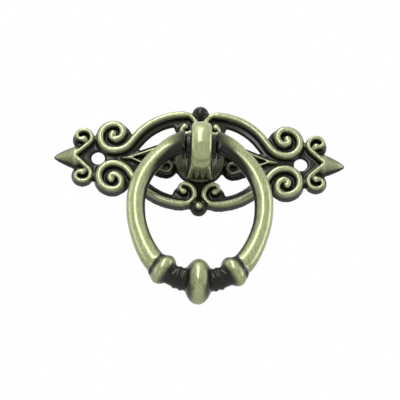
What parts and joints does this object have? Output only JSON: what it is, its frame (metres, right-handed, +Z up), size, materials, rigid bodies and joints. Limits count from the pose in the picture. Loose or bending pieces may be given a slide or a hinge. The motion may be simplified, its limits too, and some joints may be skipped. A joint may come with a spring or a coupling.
{
  "type": "drop ring cabinet pull",
  "caption": "Antique bronze cabinet pull: a pierced scrollwork back plate with a hanging ring whose foot carries turned beads.",
  "frame": {"origin": "centre of the back face, midway between the screw holes", "axes": "+X along the plate, +Y into the drawer front, +Z up; the ring hangs in front at -Y"},
  "size_m": [0.0836, 0.019, 0.064],
  "materials": {
    "plate_bronze": "dark patina rubbed back on the high spots, clear lacquer",
    "post_bronze": "rubbed antique bronze, clear lacquer",
    "ring_bronze": "rubbed antique bronze, clear lacquer"
  },
  "bodies": {
    "plate": {"back_plate": "plate_bronze", "ring_post": "post_bronze"},
    "ring": {"pull_ring": "ring_bronze"}
  },
  "joints": [
    {"name": "ring_swing", "type": "hinge", "parent": "plate", "child": "ring", "pos_m": [0, -0.012, 0], "axis": [-1, 0, 0], "range_deg": [-7.5, 187.5]}
  ]
}
